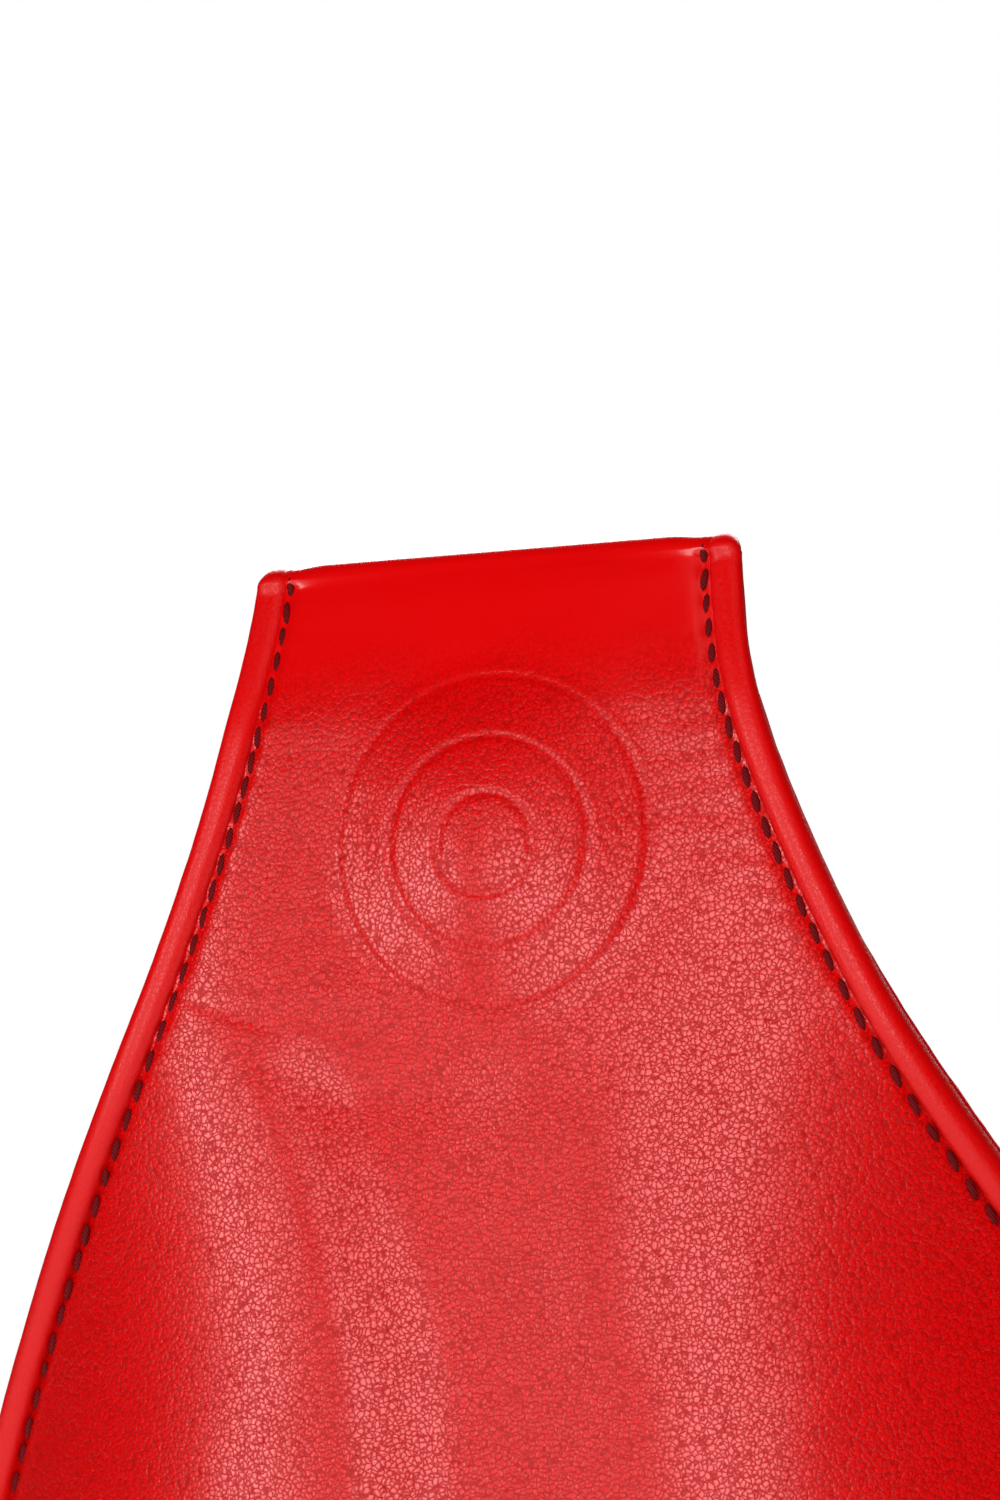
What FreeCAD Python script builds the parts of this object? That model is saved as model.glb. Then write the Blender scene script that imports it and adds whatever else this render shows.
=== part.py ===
import FreeCAD, Part
import math
import os

# A boxing focus mitt, in millimetres. +Z points from the fingers to the wrist, the striking face looks
# along -Y and the wearer's hand lies on the +Y side. The origin is on the palm side of the back panel,
# at the middle of the hand pocket's mouth.

# Overall sizes
mittLength = 272.0          # wrist fold to finger end
wristLength = 112.0         # wrist fold to the pocket's mouth
neckHalf = 35.1             # half width of the leather at the wrist fold, inside its binding
headHalf = 102.8            # half width of the leather at the widest place
widestDrop = 175.0          # from the wrist fold to the widest place
straightShare = 0.1         # how much of the flare from neck to head is a straight taper

# Padding depths, along Y from the palm plane
faceCrown = 47.0            # crown of the striking face
rimDepth = 12.0             # front rim round the head
neckRimDepth = 30.0         # front rim at the neck
foldCentre = 14.0           # middle of the wrist fold
foldThick = 5.4             # the folded leather, outside to outside
shoulderDrop = 24.0         # where the padding starts below the wrist fold
shoulderRim = 23.0          # depth of the front there
shoulderBack = 15.2         # depth of the back there
tongueLength = 27.0         # the tongue turned over to the back
cornerRadius = 3.0          # corners of the wrist fold

# Sheets and layers
leather = 1.4
seatGap = 0.15              # room left between stacked layers
boardThick = 1.2
palmFoam = 2.0
faceFoamShare = 0.45        # of the padding in front of the board
bindingOut = 3.2            # the rolled binding stands this far outside the leather
bindingIn = 4.5             # and laps this far over the face
bindingLap = 1.0            # thickness of the lap
bindingSide = 3.4           # how far the roll goes down the gusset
cordIn = 0.8                # filler cord inside the roll, from the gusset
cordOut = 2.4
cordFront = 0.4
cordBack = 2.2
backBindingOut = 2.0
backBindingIn = 3.5
backBindingSide = 2.6
backBindingLap = 0.9

# Round mark on the neck
markDrop = 43.0
markRadius = 17.5
markThick = 1.2

# Hand pocket
pocketShare = 0.506         # half width at the mouth, as a share of headHalf
pocketHigh = 46.0           # height of the mouth over the back panel
fingerMargin = 15.0         # from the pocket's tip to the finger end
knucklePad = 4.0
lining = 0.8
mouthBinding = 4.0          # length of the binding round the mouth
mouthLap = 0.6              # how far it stands outside

# Palm ball
ballRadius = 27.0
ballHigh = 16.0
ballBelow = 52.0            # from the pocket's mouth to its centre

# Thumb sleeve
thumbShare = 0.4433         # half width, as a share of the room beside the pocket
thumbHigh = 27.0
thumbLength = 62.0
thumbBelow = 14.0           # mouth below the pocket's mouth
thumbGap = 1.2              # beside the hand cover
thumbLean = 8.0             # sideways shift from mouth to tip
thumbLining = 1.6

# Wrist pad
padClear = 6.2              # from the pad's side to the strap's base
padTall = 20.0
padHigh = 6.0
padRound = 2.4
padAbove = 6.0              # above the pocket's mouth

# Wrist strap
strapHalf = 47.0            # half span, outside
strapHigh = 52.0
strapWide = 32.0
strapAbove = 8.0            # above the pocket's mouth
strapThick = 2.3
strapLining = 1.0
fuzz = 1.0                  # thickness of the hook and of the loop patch
hookGap = 0.3               # between the two patches
baseThick = 2.2
anchorThick = 1.4
anchorWide = 11.0
tipTurn = 60.0              # angle round the arch where the loose tip starts
tipEnd = 8.0
rootTurn = 176.0            # where the swinging strap starts at its sewn end
rootStub = 177.5
turnGap = 0.5               # between the strap and its tip
patchInset = 3.0            # patch edges inside the strap's edges

# Eyelets
eyeletBore = 2.4
eyeletBarrel = 3.2
eyeletFlange = 5.0
eyeletLip = 0.8
eyeletFit = 0.1
eyeletRows = (58.0, 78.0)   # below the pocket's mouth
eyeletTurns = (70.0, 90.0, 110.0)

Vec = FreeCAD.Vector
zTop = wristLength
pocketHalf = pocketShare * headHalf
padHalf = strapHalf - strapThick - 2 * fuzz - hookGap - baseThick - padClear
layerStack = leather + knucklePad + lining

# Depth of the front rim, the face's crown and the back panel at a few places down the mitt.
# Each row: drop below the wrist fold, rim, crown, back.
depthRows = (
    (shoulderDrop, shoulderRim, shoulderRim, shoulderBack),
    (41.0, 0.9 * neckRimDepth, 0.64 * faceCrown, 10.5),
    (56.0, 0.98 * neckRimDepth, 0.75 * faceCrown, 4.2),
    (72.0, neckRimDepth, 0.83 * faceCrown, 0.0),
    (90.0, 0.9 * neckRimDepth, 0.9 * faceCrown, 0.0),
    (wristLength + 3.0, 1.5 * rimDepth, 0.955 * faceCrown, 0.0),
    (wristLength + 28.0, 1.08 * rimDepth, 0.99 * faceCrown, 0.0),
    (widestDrop, rimDepth, faceCrown, 0.0),
)
# Share of the crown's height over the rim that is left at each angle round the finger end.
endTurns = ((20.0, 0.97), (38.0, 0.86), (54.0, 0.62), (66.0, 0.37), (76.0, 0.16), (84.0, 0.04))


def lineEdge(a, b):
    return Part.LineSegment(a, b).toShape()


def bow(start, middle, end):
    """A shallow curve through three points, with its pole worked out from the middle one."""
    curve = Part.BezierCurve()
    pole = middle * 2 - (start + end) * 0.5
    curve.setPoles([start, pole, end])
    return curve.toShape()


def halfWidth(drop):
    """Half width of the leather, from the wrist fold to the widest place."""
    u = drop / widestDrop
    smooth = u * u * (3 - 2 * u)
    share = straightShare * u + (1 - straightShare) * smooth
    return neckHalf + (headHalf - neckHalf) * share


# The thumb's sleeve fills its share of the room between the pocket and the back binding.
thumbHalf = thumbShare * (halfWidth(wristLength + thumbBelow) - backBindingIn - 1.02 * pocketHalf)


def stations():
    """Rows of height, half width, rim, crown and back, from the neck to the finger end."""
    rows = []
    for drop, rim, crown, back in depthRows:
        rows.append((zTop - drop, halfWidth(drop), rim, crown, back))
    for turn, share in endTurns:
        angle = math.radians(turn)
        drop = widestDrop + (mittLength - widestDrop) * math.sin(angle)
        half = headHalf * math.cos(angle)
        crown = rimDepth + (faceCrown - rimDepth) * share
        rows.append((zTop - drop, half, rimDepth, crown, 0.0))
    return rows


def bodySection(z, half, front, back):
    """A closed outline across the mitt; front and back are pairs of rim and middle depths."""
    leftFront = Vec(-half, -front[0], z)
    rightFront = Vec(half, -front[0], z)
    rightBack = Vec(half, -back[0], z)
    leftBack = Vec(-half, -back[0], z)
    edges = [
        bow(leftFront, Vec(0, -front[1], z), rightFront),
        lineEdge(rightFront, rightBack),
        bow(rightBack, Vec(0, -back[1], z), leftBack),
        lineEdge(leftBack, leftFront),
    ]
    return Part.Wire(edges)


def slab(front, back, grow=0.0, rise=0.0):
    """A solid between two surfaces that follow the mitt. front and back take a station's rim, crown and
    back depths and return a pair of depths; grow widens it, and rise lifts its top end."""
    wires = []
    rows = stations()
    for i, (z, half, rim, crown, rear) in enumerate(rows):
        if i == 0:
            z += rise
        if i == len(rows) - 1:
            z -= grow
        wires.append(bodySection(z, half + grow, front(rim, crown, rear), back(rim, crown, rear)))
    return Part.makeLoft(wires, True, False)


def fromFace(depth):
    """A surface that lies this far behind the striking face."""
    return lambda rim, crown, rear: (rim - depth, crown - depth)


def fromBack(depth):
    """A surface that lies this far in front of the back panel."""
    return lambda rim, crown, rear: (rear + depth, rear + depth)


def paddingSplit(share):
    """A surface inside the padding, at a share of the way from the face leather to the board."""
    frontSkin = leather + seatGap
    backSkin = leather + palmFoam + boardThick + 3 * seatGap

    def depths(rim, crown, rear):
        rims = (rim - frontSkin) * (1 - share) + (rear + backSkin) * share
        crowns = (crown - frontSkin) * (1 - share) + (rear + backSkin) * share
        return rims, crowns

    return depths


def foldProfile(out, inward):
    """Side profile of the leather over the wrist fold, thickened outwards and inwards."""
    radius = foldThick / 2
    zArc = zTop - radius
    zLow = zTop - shoulderDrop
    zTail = zTop - tongueLength
    outer = radius + out
    inner = radius - leather - inward
    points = [
        Vec(0, -shoulderRim - out, zLow),
        Vec(0, -foldCentre - outer, zArc),
        Vec(0, -foldCentre + outer, zArc),
        Vec(0, -foldCentre + outer, zTail),
        Vec(0, -foldCentre + inner, zTail),
        Vec(0, -foldCentre + inner, zArc),
        Vec(0, -foldCentre - inner, zArc),
        Vec(0, -shoulderRim + leather + inward, zLow),
    ]
    edges = [
        lineEdge(points[0], points[1]),
        Part.Arc(points[1], Vec(0, -foldCentre, zArc + outer), points[2]).toShape(),
        lineEdge(points[2], points[3]),
        lineEdge(points[3], points[4]),
        lineEdge(points[4], points[5]),
        Part.Arc(points[5], Vec(0, -foldCentre, zArc + inner), points[6]).toShape(),
        lineEdge(points[6], points[7]),
        lineEdge(points[7], points[0]),
    ]
    reach = headHalf
    face = Part.Face(Part.Wire(edges))
    face.translate(Vec(-reach, 0, 0))
    return face.extrude(Vec(2 * reach, 0, 0))


def foldOutline(grow, flared, yStart, yLength):
    """The wrist fold seen from the front, as a block: flared in front and straight behind."""
    zLow = zTop - (shoulderDrop if flared else tongueLength) - (0 if flared else 1)
    top = zTop + max(grow, 0) + seatGap
    radius = cornerRadius + max(grow, 0)
    halfTop = neckHalf + grow
    halfLow = (halfWidth(shoulderDrop) if flared else neckHalf) + grow
    cut = radius * (1 - math.sqrt(0.5))
    edges = []
    for side in (1, -1):
        low = Vec(side * halfLow, yStart, zLow)
        shoulder = Vec(side * halfTop, yStart, top - radius)
        corner = Vec(side * (halfTop - cut), yStart, top - cut)
        ridge = Vec(side * (halfTop - radius), yStart, top)
        edges.append((low, shoulder, corner, ridge))
    right, left = edges
    outline = [
        lineEdge(right[0], right[1]),
        Part.Arc(right[1], right[2], right[3]).toShape(),
        lineEdge(right[3], left[3]),
        Part.Arc(left[3], left[2], left[1]).toShape(),
        lineEdge(left[1], left[0]),
        lineEdge(left[0], right[0]),
    ]
    return Part.Face(Part.Wire(outline)).extrude(Vec(0, yLength, 0))


def foldShape(out, inward, grow):
    """Leather over the wrist fold: the flared front and the straight tongue behind."""
    profile = foldProfile(out, inward)
    deep = faceCrown
    front = profile.common(foldOutline(grow, True, -foldCentre, -deep))
    behind = profile.common(foldOutline(grow, False, -foldCentre, deep))
    return front.fuse(behind)


def faceCover():
    panel = slab(fromFace(0), fromFace(leather))
    return panel.fuse(foldShape(0, 0, 0)).removeSplitter()


def sideGusset():
    outer = slab(fromFace(leather + seatGap), fromBack(leather + seatGap))
    inner = slab(fromFace(-faceCrown), fromBack(-faceCrown), -leather, shoulderDrop)
    return outer.cut(inner)


def rimRing(inner, outer, front, back):
    """A ring that follows the rim, between two outlines and two depths."""
    ring = slab(front, back, outer)
    hole = slab(fromFace(-faceCrown), fromBack(-faceCrown), inner, shoulderDrop)
    return ring.cut(hole)


def bindingCord():
    return rimRing(cordIn, cordOut, fromFace(cordFront), fromFace(cordBack))


def frontBinding(cover, cord):
    """The rolled edge: laps over the face, wraps the gusset and runs on over the wrist fold."""
    ring = rimRing(-bindingIn, bindingOut, fromFace(-bindingLap), fromFace(bindingSide))
    ring = ring.cut(slab(fromFace(0), fromFace(2 * bindingSide)))
    fold = foldShape(bindingLap, bindingLap, bindingOut)
    fold = fold.cut(foldWindow()).cut(cover)
    return ring.cut(cord).fuse(fold).removeSplitter()


def foldWindow():
    """The part of the wrist fold between its two bindings."""
    deep = faceCrown
    front = foldOutline(-bindingIn, True, -foldCentre, -deep)
    behind = foldOutline(-bindingIn, False, -foldCentre, deep)
    window = front.fuse(behind)
    lifted = window.copy()
    lifted.translate(Vec(0, 0, cornerRadius * 2))
    lowered = window.copy()
    lowered.translate(Vec(0, 0, -1))
    return window.fuse(lifted).fuse(lowered)


def backBinding():
    front = fromBack(backBindingSide)
    ring = rimRing(-backBindingIn, backBindingOut, front, fromBack(-backBindingLap))
    return ring.cut(slab(fromBack(2 * backBindingSide), fromBack(0)))


def backCover():
    """The back panel, flat where the hand side is sewn to it."""
    size = 2 * mittLength
    room = Part.makeBox(size, size, size, Vec(-size / 2, -size, -size / 2))
    return slab(fromBack(leather), fromBack(0)).common(room)


def innerLayer(front, back):
    return slab(front, back, -leather - seatGap)


def markPost(radius, near, far):
    """A round piece of the layer that lies between two depths behind the face."""
    post = Part.makeCylinder(radius, 2 * faceCrown, Vec(0, 0, zTop - markDrop), Vec(0, -1, 0))
    return post.common(innerLayer(fromFace(near), fromFace(far)))


def markDisc():
    skin = leather + seatGap
    return markPost(markRadius, skin, skin + markThick)


def faceFoam():
    """The soft foam, with a shallow seat for the mark's disc."""
    foam = innerLayer(paddingSplit(0), paddingSplit(faceFoamShare))
    return foam.cut(markPost(markRadius + seatGap, -markThick, leather + markThick + 2 * seatGap))


def coreFoam():
    return innerLayer(paddingSplit(faceFoamShare), paddingSplit(1))


def backingBoard():
    near = leather + palmFoam + 2 * seatGap
    return innerLayer(fromBack(near + boardThick), fromBack(near))


def palmFoamLayer():
    near = leather + seatGap
    return innerLayer(fromBack(near + palmFoam), fromBack(near))


def archSection(x, z, a, b):
    """A half ellipse that stands on the back panel."""
    ellipse = Part.Ellipse(Vec(x, 0, z), a, b) if a >= b else tallEllipse(x, z, a, b)
    start = 0 if a >= b else -math.pi / 2
    arc = Part.Arc(ellipse, start, start + math.pi)
    ends = [arc.StartPoint, arc.EndPoint]
    return Part.Wire([arc.toShape(), lineEdge(ends[1], ends[0])])


def tallEllipse(x, z, a, b):
    """An ellipse whose long axis is along Y."""
    return Part.Ellipse(Vec(x, b, z), Vec(x - a, 0, z), Vec(x, 0, z))


def vault(inset, rise=0.0):
    """The hollow form of the hand pocket, or a smaller one inside it."""
    length = mittLength - wristLength - fingerMargin
    rows = (
        (0.0, pocketHalf, pocketHigh),
        (0.28, 1.02 * pocketHalf, 1.02 * pocketHigh),
        (0.62, 0.96 * pocketHalf, 0.91 * pocketHigh),
        (0.86, 0.77 * pocketHalf, 0.70 * pocketHigh),
        (1.0, 0.48 * pocketHalf, 0.42 * pocketHigh),
    )
    wires = []
    for share, a, b in rows:
        z = -share * length
        if share == 1.0:
            z += inset
        wires.append(archSection(0, z, a - inset, b - inset))
    body = Part.makeLoft(wires, True, False)
    if rise:
        mouth = Part.Face(archSection(0, 0, pocketHalf - inset, pocketHigh - inset))
        body = body.fuse(mouth.extrude(Vec(0, 0, rise)))
    return body


def vaultLayer(outside, inside):
    return vault(outside).cut(vault(inside))


def mouthRing(a, b, x, z, outside, inside, tall):
    outer = Part.Face(archSection(x, z, a - outside, b - outside)).extrude(Vec(0, 0, tall))
    inner = Part.Face(archSection(x, z, a - inside, b - inside)).extrude(Vec(0, 0, tall))
    return outer.cut(inner)


def eyeletFrames():
    """Centre and outward direction of each eyelet on the hand cover."""
    length = mittLength - wristLength - fingerMargin
    frames = []
    for below in eyeletRows:
        share = below / length
        shrink = 1 - 0.15 * share * share
        for turn in eyeletTurns:
            t = math.radians(turn)
            a = 1.02 * pocketHalf * shrink
            b = 1.02 * pocketHigh * shrink
            point = Vec(a * math.cos(t), b * math.sin(t), -below)
            frames.append((point, Vec(b * math.cos(t), a * math.sin(t), 0).normalize()))
    return frames


def eyelet(point, out):
    depth = layerStack + 2 * eyeletLip
    start = point - out * (layerStack + eyeletLip)
    barrel = Part.makeCylinder(eyeletBarrel, depth, start, out)
    for height in (0, layerStack + eyeletLip):
        lip = Part.makeCylinder(eyeletFlange, eyeletLip, start + out * height, out)
        barrel = barrel.fuse(lip)
    return barrel.cut(Part.makeCylinder(eyeletBore, depth, start, out))


def eyeletRoom():
    """What the hand cover's layers lose to the eyelets."""
    rooms = []
    for point, out in eyeletFrames():
        rooms.append(Part.makeCylinder(eyeletBarrel + eyeletFit, 30, point - out * 15, out))
        outer = Part.makeCylinder(eyeletFlange + eyeletFit, 8, point, out)
        inner = Part.makeCylinder(eyeletFlange + eyeletFit, 8, point - out * (layerStack + 8), out)
        rooms += [outer, inner]
    return Part.makeCompound(rooms)


def halfBall(inset):
    """The palm ball or its filling: the cap of a sphere that stands on the back panel."""
    sphere = (ballRadius ** 2 + ballHigh ** 2) / (2 * ballHigh)
    ball = Part.makeSphere(sphere - inset, Vec(0, ballHigh - sphere, -ballBelow))
    size = 4 * ballRadius
    room = Part.makeBox(size, size, size, Vec(-size / 2, 0, -ballBelow - size / 2))
    return ball.common(room)


def thumbCentre():
    return pocketHalf * 1.02 + thumbGap + thumbHalf


def thumbForm(inset):
    rows = (
        (0.0, thumbHalf, thumbHigh),
        (0.4, thumbHalf, 0.96 * thumbHigh),
        (0.8, 0.8 * thumbHalf, 0.72 * thumbHigh),
        (1.0, 0.5 * thumbHalf, 0.42 * thumbHigh),
    )
    wires = []
    for share, a, b in rows:
        z = -thumbBelow - share * thumbLength
        if share == 1.0:
            z += inset
        wires.append(archSection(thumbCentre() + share * thumbLean, z, a - inset, b - inset))
    return Part.makeLoft(wires, True, False)


def padForm(inset):
    size = (2 * (padHalf - inset), padHigh - inset, padTall - 2 * inset)
    corner = Vec(-padHalf + inset, 0, padAbove + inset)
    block = Part.makeBox(size[0], size[1], size[2], corner)
    top = [e for e in block.Edges if e.BoundBox.YMin > size[1] - 0.01]
    return block.makeFillet(padRound - inset, top)


def archBand(out, inside, start, end, zInset=0.0):
    """A band that follows the strap's arch between two insets and two angles."""
    a0, a1 = math.radians(start), math.radians(end)
    z = strapAbove + zInset
    curves = []
    for inset in (out, inside):
        ellipse = Part.Ellipse(Vec(0, strapHigh - inset, z), Vec(-(strapHalf - inset), 0, z), Vec(0, 0, z))
        curves.append(Part.Arc(ellipse, a0 - math.pi / 2, a1 - math.pi / 2))
    outer, inner = curves
    edges = [
        outer.toShape(),
        lineEdge(outer.EndPoint, inner.EndPoint),
        inner.toShape(),
        lineEdge(inner.StartPoint, outer.StartPoint),
    ]
    wire = Part.Wire(Part.__sortEdges__(edges))
    return Part.Face(wire).extrude(Vec(0, 0, strapWide - 2 * zInset))


def wristStrap():
    return archBand(0, strapThick, tipTurn + turnGap, rootTurn)


def strapLiningBand():
    start = tipTurn + 4 * turnGap
    return archBand(strapThick, strapThick + strapLining, start, rootTurn, patchInset)


def strapTip():
    return archBand(0, strapThick, tipEnd, tipTurn)


def hookPatch():
    return archBand(strapThick, strapThick + fuzz, tipEnd + 4, tipTurn - 4, patchInset)


def loopDepth():
    return strapThick + fuzz + hookGap


def loopPatch():
    return archBand(loopDepth(), loopDepth() + fuzz, tipEnd + 2, tipTurn - 3, patchInset)


def strapBase():
    outside = loopDepth() + fuzz
    band = archBand(outside, outside + baseThick, 0, tipTurn)
    corner = Vec(strapHalf - outside - baseThick, 0, strapAbove)
    foot = Part.makeBox(anchorWide, anchorThick, strapWide, corner)
    return band.fuse(foot).removeSplitter()


def strapAnchor():
    stub = archBand(0, strapThick, rootStub, 180)
    corner = Vec(-strapHalf - anchorWide + strapThick, 0, strapAbove)
    foot = Part.makeBox(anchorWide, anchorThick, strapWide, corner)
    return stub.fuse(foot).removeSplitter()


def makeParts():
    cover = faceCover()
    cord = bindingCord()
    room = eyeletRoom()
    handLayers = {
        "hand_cover": (0, leather),
        "knuckle_padding": (leather, leather + knucklePad),
        "hand_lining": (leather + knucklePad, layerStack),
    }
    parts = {
        "face_cover": cover,
        "mark_disc": markDisc(),
        "face_foam": faceFoam(),
        "core_foam": coreFoam(),
        "backing_board": backingBoard(),
        "palm_foam": palmFoamLayer(),
        "back_cover": backCover(),
        "side_gusset": sideGusset(),
        "rim_binding": frontBinding(cover, cord),
        "rim_binding_cord": cord,
        "back_binding": backBinding(),
        "pocket_mouth_binding": mouthRing(
            pocketHalf, pocketHigh, 0, 0, -mouthLap, layerStack + mouthLap, mouthBinding
        ),
        "palm_ball_cover": halfBall(0).cut(halfBall(leather)),
        "palm_ball_foam": halfBall(leather),
        "thumb_sleeve": thumbForm(0).cut(thumbForm(leather)),
        "thumb_lining": thumbForm(leather).cut(thumbForm(leather + thumbLining)),
        "thumb_mouth_binding": mouthRing(
            thumbHalf, thumbHigh, thumbCentre(), -thumbBelow, -mouthLap,
            leather + thumbLining + mouthLap, mouthBinding
        ),
        "wrist_pad_cover": padForm(0).cut(padForm(leather)),
        "wrist_pad_foam": padForm(leather),
        "strap_anchor": strapAnchor(),
        "strap_base": strapBase(),
        "loop_patch": loopPatch(),
        "wrist_strap": wristStrap(),
        "strap_lining": strapLiningBand(),
        "strap_tip": strapTip(),
        "hook_patch": hookPatch(),
        "vent_eyelets": Part.makeCompound([eyelet(p, out) for p, out in eyeletFrames()]),
    }
    for name, (outside, inside) in handLayers.items():
        parts[name] = vaultLayer(outside, inside).cut(room)
    return parts


os.makedirs("parts", exist_ok=True)
for node, shape in makeParts().items():
    shape.exportStep("parts/" + node + ".step")
    box = shape.BoundBox
    print(node, len(shape.Solids), shape.isValid(), round(shape.Volume / 1000, 2), "cm3",
          [round(v, 1) for v in (box.XMin, box.YMin, box.ZMin, box.XMax, box.YMax, box.ZMax)])
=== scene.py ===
import bpy
from math import asin, copysign, cos, exp, hypot, pi, radians, sin
from mathutils import Matrix, Vector, noise


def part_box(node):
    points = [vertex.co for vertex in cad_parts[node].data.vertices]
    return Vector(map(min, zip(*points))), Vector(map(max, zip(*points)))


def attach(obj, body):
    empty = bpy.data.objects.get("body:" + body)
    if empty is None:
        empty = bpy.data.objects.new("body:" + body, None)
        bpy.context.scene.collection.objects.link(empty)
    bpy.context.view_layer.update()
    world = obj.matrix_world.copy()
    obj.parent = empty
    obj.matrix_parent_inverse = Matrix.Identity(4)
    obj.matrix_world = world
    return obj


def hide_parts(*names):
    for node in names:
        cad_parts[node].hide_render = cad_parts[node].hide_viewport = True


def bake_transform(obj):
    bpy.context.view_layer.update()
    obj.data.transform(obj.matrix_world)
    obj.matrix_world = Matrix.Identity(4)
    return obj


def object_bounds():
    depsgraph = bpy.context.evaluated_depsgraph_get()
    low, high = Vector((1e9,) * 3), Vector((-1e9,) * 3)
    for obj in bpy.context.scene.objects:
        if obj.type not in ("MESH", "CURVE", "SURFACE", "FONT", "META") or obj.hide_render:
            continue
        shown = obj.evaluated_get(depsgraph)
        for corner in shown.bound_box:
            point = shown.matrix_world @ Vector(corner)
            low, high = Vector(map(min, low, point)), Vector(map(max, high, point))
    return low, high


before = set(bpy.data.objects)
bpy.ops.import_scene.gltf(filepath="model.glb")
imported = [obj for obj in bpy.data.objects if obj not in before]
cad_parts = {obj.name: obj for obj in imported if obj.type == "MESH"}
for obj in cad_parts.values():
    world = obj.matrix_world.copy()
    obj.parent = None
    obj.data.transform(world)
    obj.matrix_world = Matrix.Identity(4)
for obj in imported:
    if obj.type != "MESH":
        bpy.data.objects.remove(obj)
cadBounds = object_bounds()
print("frame loaded")

mm = 0.001

# The mitt's own measures in millimetres. A drop is measured down from the wrist fold.
mitt = {
    "top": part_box("face_cover")[1][2] / mm,
    "length": 272.0,
    "neckHalf": 38.0,  # rolled edge included
    "headHalf": 105.8,
    "widestDrop": 178.0,
    "straightShare": 0.1,
    "slim": 0.7,
    "foldCentre": -14.0,
    "foldRadius": 2.7,
    "foldSag": -0.4,
    "tongue": 26.0,
    "tongueHalf": 37.1,
    "bodyTop": 24.0,
}
foldTop = mitt["top"]
widest = mitt["widestDrop"]
endLow = mitt["length"] + 1 - widest
# drop, depth of the rim, depth of the crown
frontRows = (
    (2.7, 16.3, 16.9), (6.0, 17.8, 18.6), (12.0, 20.3, 21.1), (18.0, 22.7, 23.3), (24.0, 24.6, 25.1),
    (41.0, 27.2, 28.3), (56.0, 28.7, 30.9), (72.0, 29.5, 33.6), (90.0, 26.9, 36.7), (115.0, 19.8, 40.4),
    (140.0, 13.6, 43.7), (178.0, 12.0, 46.6),
)
# drop, depth of the back panel, how far its edge stands inside the rolled edge
backRows = (
    (24.0, 15.2, 3.4), (30.0, 13.4, 4.3), (41.0, 10.3, 5.9), (56.0, 4.6, 8.3), (72.0, 0.6, 9.4),
    (80.0, 0.0, 9.2), (90.0, 0.0, 8.5), (100.0, 0.0, 7.4), (115.0, 0.0, 6.0), (140.0, 0.0, 4.2), (178.0, 0.0, 3.0),
)

# the face looks along -y, the hand side along +y
upward, faceward, handward = Vector((0, 0, 1)), Vector((0, -1, 0)), Vector((0, 1, 0))


def curveAt(rows, column, at):
    # a smooth curve through one column of a table
    xs = [row[0] for row in rows]
    ys = [row[column] for row in rows]
    if at <= xs[0]:
        return ys[0]
    if at >= xs[-1]:
        return ys[-1]
    i = max(k for k in range(len(xs) - 1) if xs[k] <= at)
    slopes = []
    for k in (i, i + 1):
        lo, hi = max(k - 1, 0), min(k + 1, len(xs) - 1)
        slopes.append((ys[hi] - ys[lo]) / (xs[hi] - xs[lo]))
    step = xs[i + 1] - xs[i]
    t = (at - xs[i]) / step
    start = (2 * t ** 3 - 3 * t ** 2 + 1) * ys[i] + (t ** 3 - 2 * t ** 2 + t) * step * slopes[0]
    end = (3 * t ** 2 - 2 * t ** 3) * ys[i + 1] + (t ** 3 - t ** 2) * step * slopes[1]
    return start + end


def ease(lo, hi, value):
    t = min(max((value - lo) / (hi - lo), 0.0), 1.0)
    return t * t * (3 - 2 * t)


def bump(centre, width, value):
    return exp(-((value - centre) / width) ** 2)


def rough(x, y, z):
    return noise.noise(Vector((x, y, z)))


def outline(drop):
    # half width of the whole mitt, its rolled edge included
    u = drop / widest
    share = mitt["straightShare"] * u + (1 - mitt["straightShare"]) * u * u * (3 - 2 * u)
    slim = mitt["slim"] * ease(35, 75, drop) * (1 - ease(115, 178, drop))
    return mitt["neckHalf"] + (mitt["headHalf"] - mitt["neckHalf"]) * share - slim


def endTurn(angle):
    # drop and share of the half width, round the finger end
    return widest + endLow * sin(angle), cos(angle)


def pick(*chosen):
    # selects the objects given and no other
    bpy.ops.object.select_all(action="DESELECT")
    for obj in chosen[::-1]:
        obj.select_set(True)
        bpy.context.view_layer.objects.active = obj


def nearest(share, count):
    return min(round(share * (count - 1)), count - 1)


def wrapGrid(name, across, along, place, merged=False):
    # a grid whose points are moved to where the piece lies: place takes two shares and gives millimetres
    pick()
    bpy.ops.mesh.primitive_grid_add(x_subdivisions=across, y_subdivisions=along, size=1)
    obj = bpy.context.object
    obj.name = obj.data.name = name
    for vert in obj.data.vertices:
        vert.co = place(vert.co.x + 0.5, vert.co.y + 0.5) * mm
    bpy.ops.object.mode_set(mode="EDIT")
    bpy.ops.mesh.select_all(action="SELECT")
    if merged:
        bpy.ops.mesh.remove_doubles(threshold=0.00002)
        bpy.ops.mesh.normals_make_consistent(inside=False)
    bpy.ops.object.mode_set(mode="OBJECT")
    bpy.ops.object.shade_smooth()
    return obj


def faceOut(obj, centre):
    # turns a sheet so that it faces away from a place, in millimetres
    middle = Vector(centre) * mm
    if sum((face.center - middle).dot(face.normal) * face.area for face in obj.data.polygons) < 0:
        pick(obj)
        bpy.ops.object.mode_set(mode="EDIT")
        bpy.ops.mesh.select_all(action="SELECT")
        bpy.ops.mesh.flip_normals()
        bpy.ops.object.mode_set(mode="OBJECT")


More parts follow.
